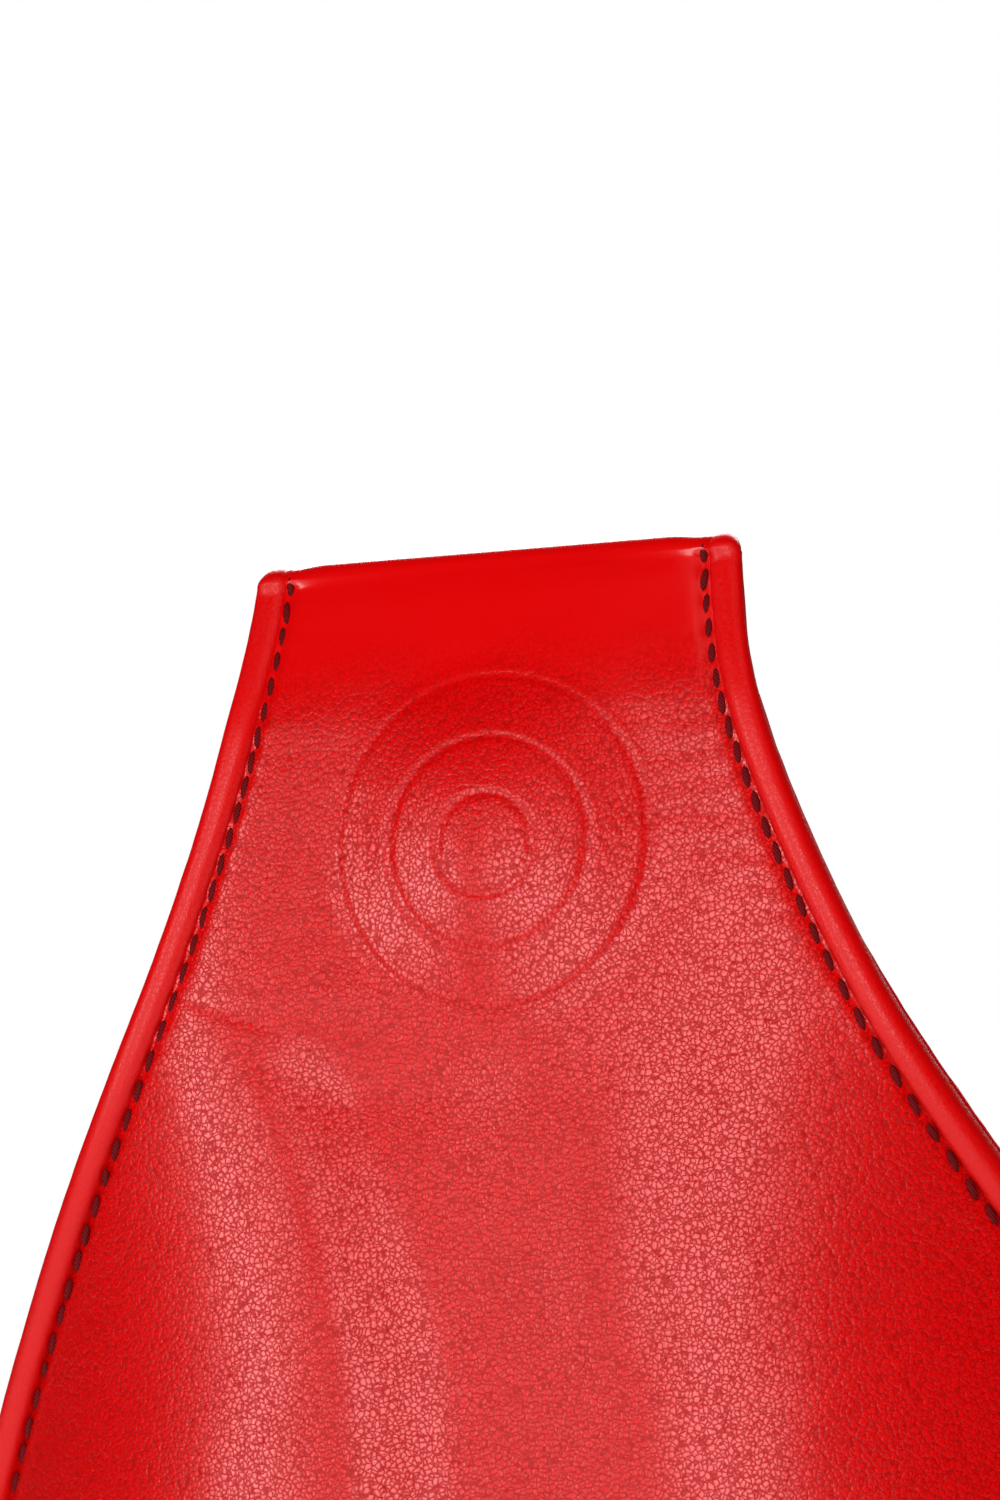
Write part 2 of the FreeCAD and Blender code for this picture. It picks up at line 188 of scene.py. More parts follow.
def thicken(obj, thickness):
    # adds a wall on the inner side of a sheet
    wall = obj.modifiers.new("wall", "SOLIDIFY")
    wall.thickness = thickness * mm
    wall.offset = -1
    pick(obj)
    bpy.ops.object.modifier_apply(modifier=wall.name)


def coat(obj, material):
    obj.data.materials.clear()
    obj.data.materials.append(material)


def dress(obj, material, body="mitt"):
    coat(obj, material)
    if body:
        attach(obj, body)
    return obj


def dressSoft(obj, slot, material, fill, *nodes):
    # a padded piece and the nodes that it stands for
    dress(obj, material)
    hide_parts(*nodes)


def dressEdge(obj, *nodes):
    # rolled or piped edge leather
    dress(obj, edgeLeather)
    if nodes:
        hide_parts(*nodes)


def mirrored(v):
    return Vector((-v.x, v.y, v.z))


def squared(value, power):
    # a sine or cosine pushed towards its ends, which makes a circle squarer
    return copysign(abs(value) ** power, value)


stripLook = {"square": 0.86, "rippleLong": 2.6}


def sweep(name, path, wide, high, sides=16, loop=False, wrinkle=0.05):
    # a rounded strip along a path of (place, outward, facing), its height in the path where none is given;
    # a loop closes on itself, else its ends close
    rows = path + path[:1] if loop else path[:1] + path + path[-1:]

    def place(u, v):
        i = nearest(v, len(rows))
        spot, outward, facing = rows[i][:3]
        closed = not loop and i in (0, len(rows) - 1)
        tall = rows[i][3] if high is None else high
        angle = 2 * pi * u
        c, s = cos(angle), sin(angle)
        if closed:
            return spot.copy()
        long = stripLook["rippleLong"]
        ripple = 1 + wrinkle * rough(spot.x / long + c, spot.y / long + s, spot.z / long)
        c, s = squared(c, stripLook["square"]), squared(s, stripLook["square"])
        return spot + outward * (wide * c * ripple) + facing * (tall * s * ripple)

    return wrapGrid(name, sides, len(rows) - 1, place, merged=True)


seamCloses = (30, 75)  # drops between which a seam goes from its closest stitches to its full pitch


def evenSteps(points, pitch, tight):
    # places at steps along a line of (place, up), with the line's direction there
    steps, carried = [], pitch / 2
    for a, b in zip(points, points[1:]):
        span = (b[0] - a[0]).length
        while carried < span:
            t = carried / span
            steps.append((a[0].lerp(b[0], t), (b[0] - a[0]).normalized(), a[1].lerp(b[1], t).normalized()))
            carried += pitch * (1 - tight * (1 - ease(*seamCloses, foldTop - a[0].z)))
        carried -= span
    return steps


stitchSway = 4  # degrees that one stitch may turn from the next


def sewLine(name, points, seam, body="mitt"):
    # a row of stitches along points, each a place and the way up from the leather
    pick()
    bpy.ops.mesh.primitive_uv_sphere_add(segments=8, ring_count=6, radius=1)
    pattern = bpy.context.object
    bpy.ops.object.shade_smooth()
    copies = []
    for i, (spot, along, up) in enumerate(evenSteps(points, seam["pitch"], seam.get("tight", 0))):
        side = up.cross(along).normalized()
        up = along.cross(side).normalized()
        sway = stitchSway * rough(i * 1.7, 0.3, seam["slant"])
        turn = Matrix.Rotation(radians(seam["slant"] + sway), 3, "Z")
        axes = Matrix((along, side, up)).transposed() @ turn
        size = [v * mm / 2 for v in (seam["long"], seam["wide"], seam["high"])]
        piece = pattern.copy()
        piece.data = pattern.data.copy()
        piece.data.transform(Matrix.Translation(spot * mm) @ axes.to_4x4() @ Matrix.Diagonal(size + [1]))
        bpy.context.collection.objects.link(piece)
        copies.append(piece)
    bpy.data.objects.remove(pattern)
    pick(*copies)
    bpy.ops.object.join()
    row = bpy.context.object
    row.name = row.data.name = name
    dress(row, seamThread, body)


class Socket:
    # a value in a node tree, so that sums on it can be written as Python

    def __init__(self, shader, out):
        self.shader = shader
        self.out = out

    def math(self, operation, other, flipped=False):
        inputs = {0: other, 1: self} if flipped else {0: self, 1: other}
        return self.shader.node("ShaderNodeMath", {"operation": operation}, inputs)

    def __add__(self, other):
        return self.math("ADD", other)

    def __mul__(self, other):
        return self.math("MULTIPLY", other)

    def __sub__(self, other):
        return self.math("SUBTRACT", other)

    def __rsub__(self, other):
        return self.math("SUBTRACT", other, True)

    __radd__, __rmul__ = __add__, __mul__


class Shader:

    def __init__(self, name):
        self.material = bpy.data.materials.new(name)
        self.material.use_nodes = True
        self.nodes = self.material.node_tree.nodes
        self.links = self.material.node_tree.links
        self.surface = self.nodes["Principled BSDF"]

    def node(self, kind, settings, inputs, output=0):
        made = self.nodes.new(kind)
        for key, value in settings.items():
            setattr(made, key, value)
        for key, value in inputs.items():
            self.feed(made.inputs[key], value)
        return Socket(self, made.outputs[output])

    def feed(self, socket, value):
        if isinstance(value, Socket):
            self.links.new(value.out, socket)
        else:
            socket.default_value = value

    def set(self, values):
        for key, value in values.items():
            self.feed(self.surface.inputs[key], value)

    def place(self):
        return self.node("ShaderNodeTexCoord", {}, {}, "Object")

    def mixColour(self, factor, a, b):
        return self.node("ShaderNodeMix", {"data_type": "RGBA"}, {0: factor, 6: a, 7: b}, 2)

    def noise(self, spot, scale, detail, output="Fac"):
        return self.node("ShaderNodeTexNoise", {}, {"Vector": spot, "Scale": scale, "Detail": detail}, output)

    def bump(self, height, distance, strength=1.0):
        inputs = {"Height": height, "Strength": strength, "Distance": distance * mm}
        return self.node("ShaderNodeBump", {}, inputs, "Normal")


def leather(name, look):
    # pebbled grain: rounded cells, painted shade darkening the creases, fine pores and slow changes of colour
    s = Shader(name)
    spot = s.place()
    drift = s.noise(spot, 900.0, 3.0, "Color")
    shifted = s.node("ShaderNodeVectorMath", {"operation": "MULTIPLY_ADD"},
                     {0: drift, 1: [look["drift"] * mm] * 3, 2: spot})
    cell = s.node("ShaderNodeTexVoronoi", {"feature": "SMOOTH_F1"},
                  {"Vector": shifted, "Scale": look["cells"], "Smoothness": 0.35}, "Distance")
    edge = s.node("ShaderNodeTexVoronoi", {"feature": "DISTANCE_TO_EDGE"},
                  {"Vector": shifted, "Scale": look["cells"]}, "Distance")
    crease = s.node("ShaderNodeMapRange", {"interpolation_type": "SMOOTHSTEP"},
                    {"Value": edge, "From Min": 0.0, "From Max": 0.2, "To Min": 0.0, "To Max": 1.0})
    pores = s.noise(spot, 2400.0, 2.0)
    slow = s.noise(spot, 26.0, 3.0)
    patch = s.noise(spot, 110.0, 2.0)
    height = ((1 - cell * cell * 1.7) * 0.75 + crease * 0.15 + pores * 0.05) * (patch * 0.9 + 0.55)
    shade = crease
    if look["masked"]:
        grain = s.node("ShaderNodeAttribute", {"attribute_name": "grain"}, {}, "Fac")
        height = height * grain
        shade = 1 - (1 - crease) * grain
    colour, dark = look["colour"], look["dark"]
    base = s.mixColour(slow, list(colour) + [1], [c * 0.88 for c in colour] + [1])
    # painted shade: in the creases between the pebbles the colour falls towards the dark crease colour
    base = s.mixColour(shade * 0.7 + 0.3, list(dark) + [1], base)
    s.set({
        "Base Color": base, "Normal": s.bump(height, look["depth"]),
        "Roughness": look["roughness"] + (slow - 0.5) * 0.06 + (1 - shade) * 0.18,
        "Specular IOR Level": look["specular"],
        "Coat Weight": shade * shade * look["coat"], "Coat Roughness": look["coatRoughness"],
    })
    return s.material


def threadLook(name, dark, pale):
    s = Shader(name)
    twist = s.node("ShaderNodeTexWave", {"bands_direction": "DIAGONAL"},
                   {"Vector": s.place(), "Scale": 900.0, "Distortion": 1.0, "Detail": 1.0}, "Fac")
    # painted light and shade: the colour goes from dark in the twist's grooves to pale on its raised plies,
    # following the bump
    s.set({"Base Color": s.mixColour(twist, dark, pale), "Normal": s.bump(twist, 0.2, 0.6), "Roughness": 0.7,
           "Specular IOR Level": 0.2})
    return s.material


def clothLook(name, dark, pale, scale, depth, roughness):
    # woven cloth: two crossed bands with a little unevenness
    s = Shader(name)
    spot = s.place()
    bands = []
    for direction in ("X", "Z"):
        bands.append(s.node("ShaderNodeTexWave", {"bands_direction": direction},
                            {"Vector": spot, "Scale": scale, "Distortion": 0.6, "Detail": 1.0}, "Fac"))
    weave = bands[0] * 0.5 + bands[1] * 0.5
    mottle = s.noise(spot, 90.0, 3.0)
    # partly painted shade: the colour is darker in the weave's low bands and paler on its raised bands, mixed with
    # random mottle
    s.set({"Base Color": s.mixColour(weave * 0.6 + mottle * 0.4, dark, pale), "Normal": s.bump(weave, depth),
           "Roughness": roughness})
    return s.material


def tapeLook(name, dark, pale, scale, depth):
    # hook or loop tape: a dense field of small tufts
    s = Shader(name)
    spot = s.place()
    tuft = s.node("ShaderNodeTexVoronoi", {"feature": "F1"}, {"Vector": spot, "Scale": scale}, "Distance")
    fuzz = s.noise(spot, scale * 1.6, 4.0)
    height = (1 - tuft) * 0.7 + fuzz * 0.5
    # painted shade: the colour is darker in the hollows between the tufts and paler on their tops, following the
    # bump height
    s.set({"Base Color": s.mixColour(height, dark, pale), "Normal": s.bump(height, depth), "Roughness": 0.85})
    return s.material


def foamLook(name, colour, cells):
    s = Shader(name)
    spot = s.place()
    pore = s.node("ShaderNodeTexVoronoi", {"feature": "F1"}, {"Vector": spot, "Scale": cells}, "Distance")
    s.set({"Base Color": s.mixColour(pore, list(colour) + [1], [c * 0.7 for c in colour] + [1]),
           "Normal": s.bump(pore, 0.3), "Roughness": 0.9})
    return s.material


def metalLook():
    s = Shader("eyeletMetal")
    spot = s.place()
    brushed = s.noise(spot, 700.0, 4.0)
    tarnish = s.noise(spot, 160.0, 3.0)
    s.set({"Base Color": s.mixColour(tarnish, (0.33, 0.33, 0.35, 1), (0.55, 0.54, 0.52, 1)), "Metallic": 1.0,
           "Roughness": brushed * 0.2 + 0.22, "Normal": s.bump(brushed, 0.03)})
    return s.material


redColour = (0.80, 0.0006, 0.0012)
# painted shade colour for the creases of the red leather's grain
redCreaseShade = (0.30, 0.0002, 0.0004)
redLeather = leather("redLeather", {
    "colour": redColour, "dark": redCreaseShade, "cells": 1280.0, "drift": 1.1, "depth": 0.07, "roughness": 0.20,
    "specular": 0.26, "coat": 0.8, "coatRoughness": 0.24, "masked": True})
bodyLeather = leather("bodyLeather", {
    "colour": redColour, "dark": redCreaseShade, "cells": 1300.0, "drift": 1.1, "depth": 0.075, "roughness": 0.30,
    "specular": 0.3, "coat": 0.4, "coatRoughness": 0.28, "masked": False})
# the edge leather's dark colour is a lighter painted shade in its creases
edgeLeather = leather("edgeLeather", {
    "colour": (0.78, 0.0006, 0.0012), "dark": (0.66, 0.0004, 0.0008), "cells": 1400.0, "drift": 1.3, "depth": 0.022,
    "roughness": 0.30, "specular": 0.38, "coat": 0.0, "coatRoughness": 0.3, "masked": False})
seamThread = threadLook("seamThread", (0.085, 0.0012, 0.0022, 1), (0.20, 0.003, 0.006, 1))
liningCloth = clothLook("liningCloth", (0.012, 0.012, 0.014, 1), (0.045, 0.045, 0.05, 1), 420.0, 0.15, 0.85)
hookTape = tapeLook("hookTape", (0.008, 0.008, 0.009, 1), (0.05, 0.05, 0.055, 1), 900.0, 0.4)
loopTape = tapeLook("loopTape", (0.012, 0.012, 0.013, 1), (0.06, 0.06, 0.065, 1), 1500.0, 0.5)
softFoam = foamLook("softFoam", (0.62, 0.58, 0.46), 900.0)
eyeletMetal = metalLook()
print("materials made")

# The mark: a round pad under the leather with pressed rings on it (radius, width, depth)
mark = {
    "x": 0.8, "drop": 42.5, "radius": 24.4, "domeRadius": 28.5, "domeHigh": 3.7, "upperSteep": 0.25, "step": 0.25,
    "rings": ((24.4, 0.42, 0.50), (15.6, 0.38, 0.32), (7.4, 0.38, 0.32)),
    "outerFrom": 20, "outerFaint": 0.45,
}
rimSeamLine = {"inset": 5.6, "pitch": 4.9, "tight": 0.2, "long": 3.7, "wide": 1.25, "high": 1.0, "slant": -9,
               "sunk": -0.42, "sunkBehind": 0.25, "sunkOver": 0.6, "lean": 0.1}
# The valley that runs down from the left seam: its line by drop, and where it begins and ends
valley = {
    "rows": ((62.0, -34.0), (72.0, -27.0), (82.0, -22.0), (98.0, -17.0), (113.0, -12.5), (125.0, -11.0),
             (190.0, -8.0)),
    "deep": 2.1, "left": (-14, 3), "right": (3, 46), "begins": (62, 80), "ends": (130, 190),
}
# The creases: depth, width, drop on their line, slope of the line, and where they fade
seamCrease = {"deep": 0.22, "wide": 1.6, "drop": 64, "from": -44, "slope": 0.34, "fades": (-36, -16),
              "begins": (-62, -46)}
midCrease = {"deep": 0.22, "wide": 0.9, "drop": 119, "from": -8, "slope": 0.5, "begins": (-20, -8), "fades": (2, 14)}
# height of the leather's soft unevenness, its length across and down, and its place in the noise
swayRows = ((0.50, 34, 52, 3.1), (0.20, 13, 19, 7.7))
seamWrinkle = {"high": 0.12, "across": 9, "lean": 40, "down": 3.0, "reach": 12}


def markRelief(x, drop):
    r = hypot(x - mark["x"], drop - mark["drop"])
    dome = mark["domeHigh"] * max(0.0, 1 - (r / mark["domeRadius"]) ** 2) ** 2
    below = drop - mark["drop"]
    dome *= 1 + mark["upperSteep"] * ease(0, 24, -below)
    step = mark["step"] * (1 - ease(mark["radius"] - 0.2, mark["radius"] + 1.4, r)) * ease(-8, 12, below)
    grooves = 0.0
    for radius, width, depth in mark["rings"]:
        fade = 1.0
        if radius > mark["outerFrom"]:
            lower = ease(-12, 12, below + 0.4 * (x - mark["x"]))
            fade = mark["outerFaint"] + (1 - mark["outerFaint"]) * lower
        grooves -= depth * fade * bump(radius, width, r)
    return dome + step + grooves


def creaseDepth(form, x, drop, wobble):
    line = form["drop"] + form["slope"] * (x - form["from"]) + wobble
    return form["deep"] * bump(line, form["wide"], drop) * ease(*form["begins"], x) * (1 - ease(*form["fades"], x))


def leatherRelief(x, drop, edge):
    # edge is the distance in from the seam
    line = x - curveAt(valley["rows"], 1, drop)
    sunk = -valley["deep"] * ease(*valley["left"], line) * (1 - ease(*valley["right"], line))
    sunk *= ease(*valley["begins"], drop) * (1 - ease(*valley["ends"], drop))
    sway = sum(high * rough(x / across, drop / down, at) for high, across, down, at in swayRows)
    w = seamWrinkle
    wrinkle = w["high"] * rough(x / w["across"] + drop / w["lean"], drop / w["down"], 1.3)
    wrinkle *= exp(-edge / w["reach"])
    crease = creaseDepth(seamCrease, x, drop, 0.8 * rough(x / 6, 2.0, 5.0))
    crease += creaseDepth(midCrease, x, drop, 0.9 * rough(x / 16, 4.0, drop / 30))
    return (sunk + sway + wrinkle - crease) * ease(0, 4, edge) + markRelief(x, drop)


ditch = {"deep": 0.48, "pinch": 0.16, "wide": 1.1, "shoulder": 0.08, "shoulderWide": 2.6}


def stitchDitch(edge, along):
    # the seam's ditch, pinched deeper under each stitch
    wave = 0.5 + 0.5 * cos(2 * pi * along / rimSeamLine["pitch"])
    pinched = ditch["deep"] + ditch["pinch"] * wave
    return -pinched * bump(0, ditch["wide"], edge) - ditch["shoulder"] * wave * bump(0, ditch["shoulderWide"], edge)


# steps over the fold, from row to row down to a drop, and round the finger end
faceSteps = {"fold": 13, "neckTo": 14, "neck": 0.8, "markTo": 74, "mark": 0.5, "body": 1.3, "end": 56,
             "endTurn": 89.0}


def foldHalf(share):
    # half width over the fold, from the tongue to the neck
    return mitt["tongueHalf"] + (mitt["neckHalf"] - mitt["tongueHalf"]) * ease(0, 1, share)


def facePath():
    # rows of the face leather: y of rim and crown, z, half width, drop (none over the fold), place on the fold
    rows = []
    r, centre, steps = mitt["foldRadius"], mitt["foldCentre"], faceSteps["fold"]
    for k in range(steps + 1):
        drop = mitt["tongue"] + (r - mitt["tongue"]) * k / steps
        rows.append((centre + r, centre + r, foldTop - drop, mitt["tongueHalf"], None, 0.0))
    for k in range(1, steps):
        angle = pi * k / steps
        y = centre + r * cos(angle)
        rows.append((y, y, foldTop - r + r * sin(angle), foldHalf(k / steps), None, sin(angle)))
    drop = r
    while drop < widest:
        rim, crown = curveAt(frontRows, 1, drop), curveAt(frontRows, 2, drop)
        rows.append((-rim, -crown, foldTop - drop, outline(drop), drop, 0.0))
        part = "neck" if drop < faceSteps["neckTo"] else "mark" if drop < faceSteps["markTo"] else "body"
        drop += faceSteps[part]
    turns = faceSteps["end"]
    for k in range(turns):
        drop, share = endTurn(radians(faceSteps["endTurn"]) * (k + 1) / turns)
        rim, crown = frontRows[-1][1], frontRows[-1][2]
        crown = rim + (crown - rim) * share ** 0.9
        rows.append((-rim, -crown, foldTop - drop, mitt["headHalf"] * share, drop, 0.0))
    return rows


faceRows = facePath()
# where the leather ends under the roll, and its band of close columns
faceEdge = {"under": 3.4, "band": 12.0, "bandMost": 0.35, "share": 0.6, "tuck": 0.9}
faceLook = {"thick": 1.2, "flat": 3.4, "fall": 0.95, "grainFrom": (9, 24), "grainLeast": 0.03, "grainBehind": 0.5}


def acrossFace(t, half):
    # close columns beside the seam, wider ones between
    reach = max(half - faceEdge["under"], 0.0)
    band = min(faceEdge["band"], faceEdge["bandMost"] * reach)
    a = abs(t)
    if a < faceEdge["share"]:
        return copysign((reach - band) * a / faceEdge["share"], t)
    return copysign(reach - band * (1 - a) / (1 - faceEdge["share"]), t)


def crownShare(x, half):
    # nearly flat across the middle, falling away to the stitches
    s = min(abs(x) / max(half - rimSeamLine["inset"], 0.1), 1.0)
    return (1 - s ** faceLook["flat"]) ** faceLook["fall"]


def tucked(x, half):
    # beyond the stitches the leather goes under the roll
    return faceEdge["tuck"] * ease(0.3, 1.6, abs(x) - half + rimSeamLine["inset"])


def seamAlong(drop):
    # about how far along the seam a drop is
    turn, steep, upright = 110, 1.12, 1.02
    return drop * steep if drop < turn else turn * steep + (drop - turn) * upright


def seamEdge(x, drop, half):
    # distance in from the stitch line
    if drop <= widest:
        return half - abs(x) - rimSeamLine["inset"]
    down = (drop - widest) / endLow
    meanRadius = 100.0
    return (1 - hypot(x / mitt["headHalf"], down)) * meanRadius - rimSeamLine["inset"]


def facePlace(u, v):
    yRim, yCrown, z, half, drop, onFold = faceRows[nearest(v, len(faceRows))]
    x = acrossFace(2 * u - 1, half)
    y = yRim + (yCrown - yRim) * crownShare(x, half) + tucked(x, half)
    edge = seamEdge(x, drop or 0.0, half)
    if drop is None:
        z -= mitt["foldSag"] * onFold * ease(0.0, 5.0, edge)
        return Vector((x, y, z))
    y -= leatherRelief(x, drop, max(edge, 0.0)) + stitchDitch(edge, seamAlong(drop))
    y += mitt["foldSag"] * (1 - ease(2.7, 10, drop)) * ease(0.0, 5.0, edge) * 0.4
    return Vector((x, y, z))


def makeFace():
    # the grain attribute keeps the tight leather at the fold smooth
    face = wrapGrid("faceLeather", 150, len(faceRows) - 1, facePlace)
    grain = face.data.attributes.new("grain", "FLOAT", "POINT")
    values = []
    for vert in face.data.vertices:
        drop = foldTop - vert.co.z / mm
        front = vert.co.y / mm < mitt["foldCentre"]
        shown = ease(*faceLook["grainFrom"], drop + 2 * rough(vert.co.x / mm / 12, 0, 0))
        least = faceLook["grainLeast"]
        values.append(least + (1 - least) * shown if front else faceLook["grainBehind"])
    grain.data.foreach_set("value", values)
    faceOut(face, (0, 10, 0))
    thicken(face, faceLook["thick"])
    dressSoft(face, "red_leather", redLeather, 0.85, "face_cover", "mark_disc")


rimIn = 0.6  # the rim's line inside the leather's outer side


def endRing(turns, middle):
    # points round the right half of the finger end: place, outward, drop
    points = []
    for k in range(turns + 1):
        angle = pi / 2 * k / turns
        drop, share = endTurn(angle)
        outward = Vector((cos(angle) / mitt["headHalf"], 0, -sin(angle) / endLow)).normalized()
        points.append((Vector((mitt["headHalf"] * share, middle, foldTop - drop)), outward, drop))
    return points


def rimPath():
    # points down the right side of the rim: place, outward, facing, drop
    points = []
    r, centre, steps = mitt["foldRadius"], mitt["foldCentre"], faceSteps["fold"]
    out = Vector((1, 0, 0))
    for k in range(steps - 1):
        drop = mitt["tongue"] + (r - mitt["tongue"]) * k / (steps - 1)
        spot = Vector((mitt["tongueHalf"], centre + r - rimIn, foldTop - drop))
        points.append((spot, out, handward, 0.0))
    for k in range(steps):
        angle = pi * k / steps
        way = Vector((0, cos(angle), sin(angle)))
        spot = Vector((foldHalf(k / steps), centre, foldTop - r)) + way * (r - rimIn)
        points.append((spot, out, way, 0.0))
    drop = r
    while drop < widest:
        rim = curveAt(frontRows, 1, drop) - rimIn
        outward = Vector((1, 0, outline(drop + 0.5) - outline(drop - 0.5))).normalized()
        lean = (curveAt(frontRows, 1, drop + 1) - curveAt(frontRows, 1, max(drop - 1, r))) / 2
        facing = Vector((0, -1, lean)).normalized()
        points.append((Vector((outline(drop), -rim, foldTop - drop)), outward, facing, drop))
        drop += 1.5
    for spot, outward, drop in endRing(60, -frontRows[-1][1] + rimIn):
        points.append((spot, outward, faceward, drop))
    return points


def bothSides(points):
    left = [(mirrored(p[0]), mirrored(p[1])) + tuple(p[2:]) for p in points]
    return points + left[-2::-1]


rimRight = rimPath()
rollEdge = {"wide": 2.5, "highNeck": 1.15, "highBody": 2.5, "highCorner": 2.4, "rises": (4, 44),
            "proudNeck": 0.7, "proudBody": 1.5, "standsOut": (3, 30), "wrinkle": 0.02}


def grown(form, word, along, drop):
    # a measure that grows from the neck to the body
    start = form[word + "Neck"]
    return start + (form[word + "Body"] - start) * ease(*form[along], drop)


def makeRoll():
    path = []
    for spot, outward, facing, drop in bothSides(rimRight):
        high = grown(rollEdge, "high", "rises", drop)
        if drop < mitt["foldRadius"] + 0.1:
            high += (rollEdge["highCorner"] - high) * max(facing.z, 0) ** 2
        proud = grown(rollEdge, "proud", "standsOut", drop)
        centre = spot - outward * rollEdge["wide"] - facing * (high - proud)
        path.append((centre, outward, facing, high))
    roll = sweep("edgeRoll", path, rollEdge["wide"], None, 28, wrinkle=rollEdge["wrinkle"])
    dressEdge(roll, "rim_binding", "rim_binding_cord")


def faceDepth(x, drop):
    # y of the face leather's outer side at a place on it
    row = min((r for r in faceRows if r[4] is not None), key=lambda r: abs(r[4] - drop))
    y = row[0] + (row[1] - row[0]) * crownShare(x, row[3])
    edge = seamEdge(x, drop, row[3])
    return y - leatherRelief(x, drop, max(edge, 0.0)) - stitchDitch(edge, 0.0)


def makeRimStitches():
    for side, word in ((1, "Right"), (-1, "Left")):
        line = []
        for spot, outward, facing, drop in rimRight:
            p = spot - outward * rimSeamLine["inset"]
            if drop > 0:
                p.y = faceDepth(p.x, drop) + rimSeamLine["sunk"]
            else:
                p += facing * (rimSeamLine["sunkBehind"] - rimSeamLine["sunkOver"] * max(facing.z, 0))
            up = (facing + outward * rimSeamLine["lean"]).normalized()
            line.append((p, up) if side > 0 else (mirrored(p), mirrored(up)))
        sewLine("rimStitches" + word, line, {**rimSeamLine, "slant": rimSeamLine["slant"] * side})


makeFace()
makeRoll()
makeRimStitches()
print("striking face made")


def backHalf(drop):
    # half width of the back panel to its bound edge
    return outline(drop) - curveAt(backRows, 2, drop)


def backPath():
    # the right side of the back panel's edge: place, outward, facing, drop
    points = []
    drop = mitt["bodyTop"]
    while drop < widest:
        outward = Vector((1, 0, backHalf(drop + 0.5) - backHalf(drop - 0.5))).normalized()
        spot = Vector((backHalf(drop), -curveAt(backRows, 1, drop), foldTop - drop))
        points.append((spot, outward, handward, drop))
        drop += 2.0
    for spot, outward, drop in endRing(44, 0):
        points.append((spot - outward * backRows[-1][2], outward, handward, drop))
    return points


backRight = backPath()


def rimBeside(spot, drop):
    # the front rim's place beside a point of the back edge
    return min((p for p in rimRight if p[3] > 0), key=lambda p: abs(p[3] - drop) if drop < widest
               else hypot(p[0].x - spot.x, p[0].z - spot.z))


gusset = {"frontInset": 1.5, "frontDeep": 1.6, "backInset": 1.3, "backDeep": 1.0, "rows": 12, "topSteps": 12,
          "belly": 0.5, "pucker": 0.16, "puckerLong": 2.2, "thick": 1.2}


def makeGusset():
    line = []
    for back in backRight:
        rim = rimBeside(back[0], back[3])
        a = rim[0] - rim[1] * gusset["frontInset"] + Vector((0, gusset["frontDeep"], 0))
        b = back[0] - back[1] * gusset["backInset"] - Vector((0, gusset["backDeep"], 0))
        line.append((a, b, back[1]))
    left = [tuple(mirrored(v) for v in row) for row in line]
    ring = line + left[-2::-1]
    last, first, steps = ring[-1], ring[0], gusset["topSteps"]
    for k in range(1, steps):
        ring.append((last[0].lerp(first[0], k / steps), last[1].lerp(first[1], k / steps), upward))
    ring.append(first)

    def place(u, v):
        i = nearest(v, len(ring))
        a, b, outward = ring[i]
        deep = (b - a).length
        p = a.lerp(b, u)
        long = gusset["puckerLong"]
        pucker = gusset["pucker"] * rough(p.x / long, u * 2, p.z / long) * (bump(0, 0.2, u) + bump(1, 0.2, u))
        belly = gusset["belly"] * sin(pi * u) * min(deep / 20, 1)
        return p + outward * (belly + pucker + 0.2 * rough(p.x / 15, p.y / 8, p.z / 15))

    side = wrapGrid("sideGusset", gusset["rows"], len(ring) - 1, place, merged=True)
    faceOut(side, (0, -15, -30))
    thicken(side, gusset["thick"])
    dress(side, bodyLeather)
    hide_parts("side_gusset")


def backDepth(drop):
    return -curveAt(backRows, 1, drop) if drop < widest else 0.0


backLook = {"thick": 1.3, "seam": 3.9, "seamDeep": 0.25}


def makeBackPanel():
    rows = [(spot.x, spot.z, backDepth(drop)) for spot, outward, facing, drop in backRight]

    def place(u, v):
        half, z, y = rows[nearest(v, len(rows))]
        x = (2 * u - 1) * max(half - 1.2, 0.0)
        edge = min(half - abs(x), 12.0)
        y += -0.25 + 0.12 * rough(x / 9, 5.0, z / 9) - backLook["seamDeep"] * bump(backLook["seam"], 0.8, edge)
        return Vector((x, y, z))

    panel = wrapGrid("backPanel", 90, len(rows) - 1, place)
    faceOut(panel, (0, -40, 0))
    thicken(panel, backLook["thick"])
    dress(panel, bodyLeather)
    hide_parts("back_cover")


backEdge = {"wide": 2.6, "high": 1.25}
backSeamLine = {"inset": 4.4, "pitch": 5.1, "long": 3.3, "wide": 1.0, "high": 0.9, "slant": 14}


def makeBackBinding():
    path = [(p - o * (backEdge["wide"] - 1.0) + Vector((0, -0.75, 0)), o, f) for p, o, f, d in bothSides(backRight)]
    dressEdge(sweep("backBinding", path, backEdge["wide"], backEdge["high"], 18), "back_binding")
    line = [(p - o * backSeamLine["inset"] + Vector((0, 0.02, 0)), f) for p, o, f, d in bothSides(backRight)]
    sewLine("backStitches", line, backSeamLine)


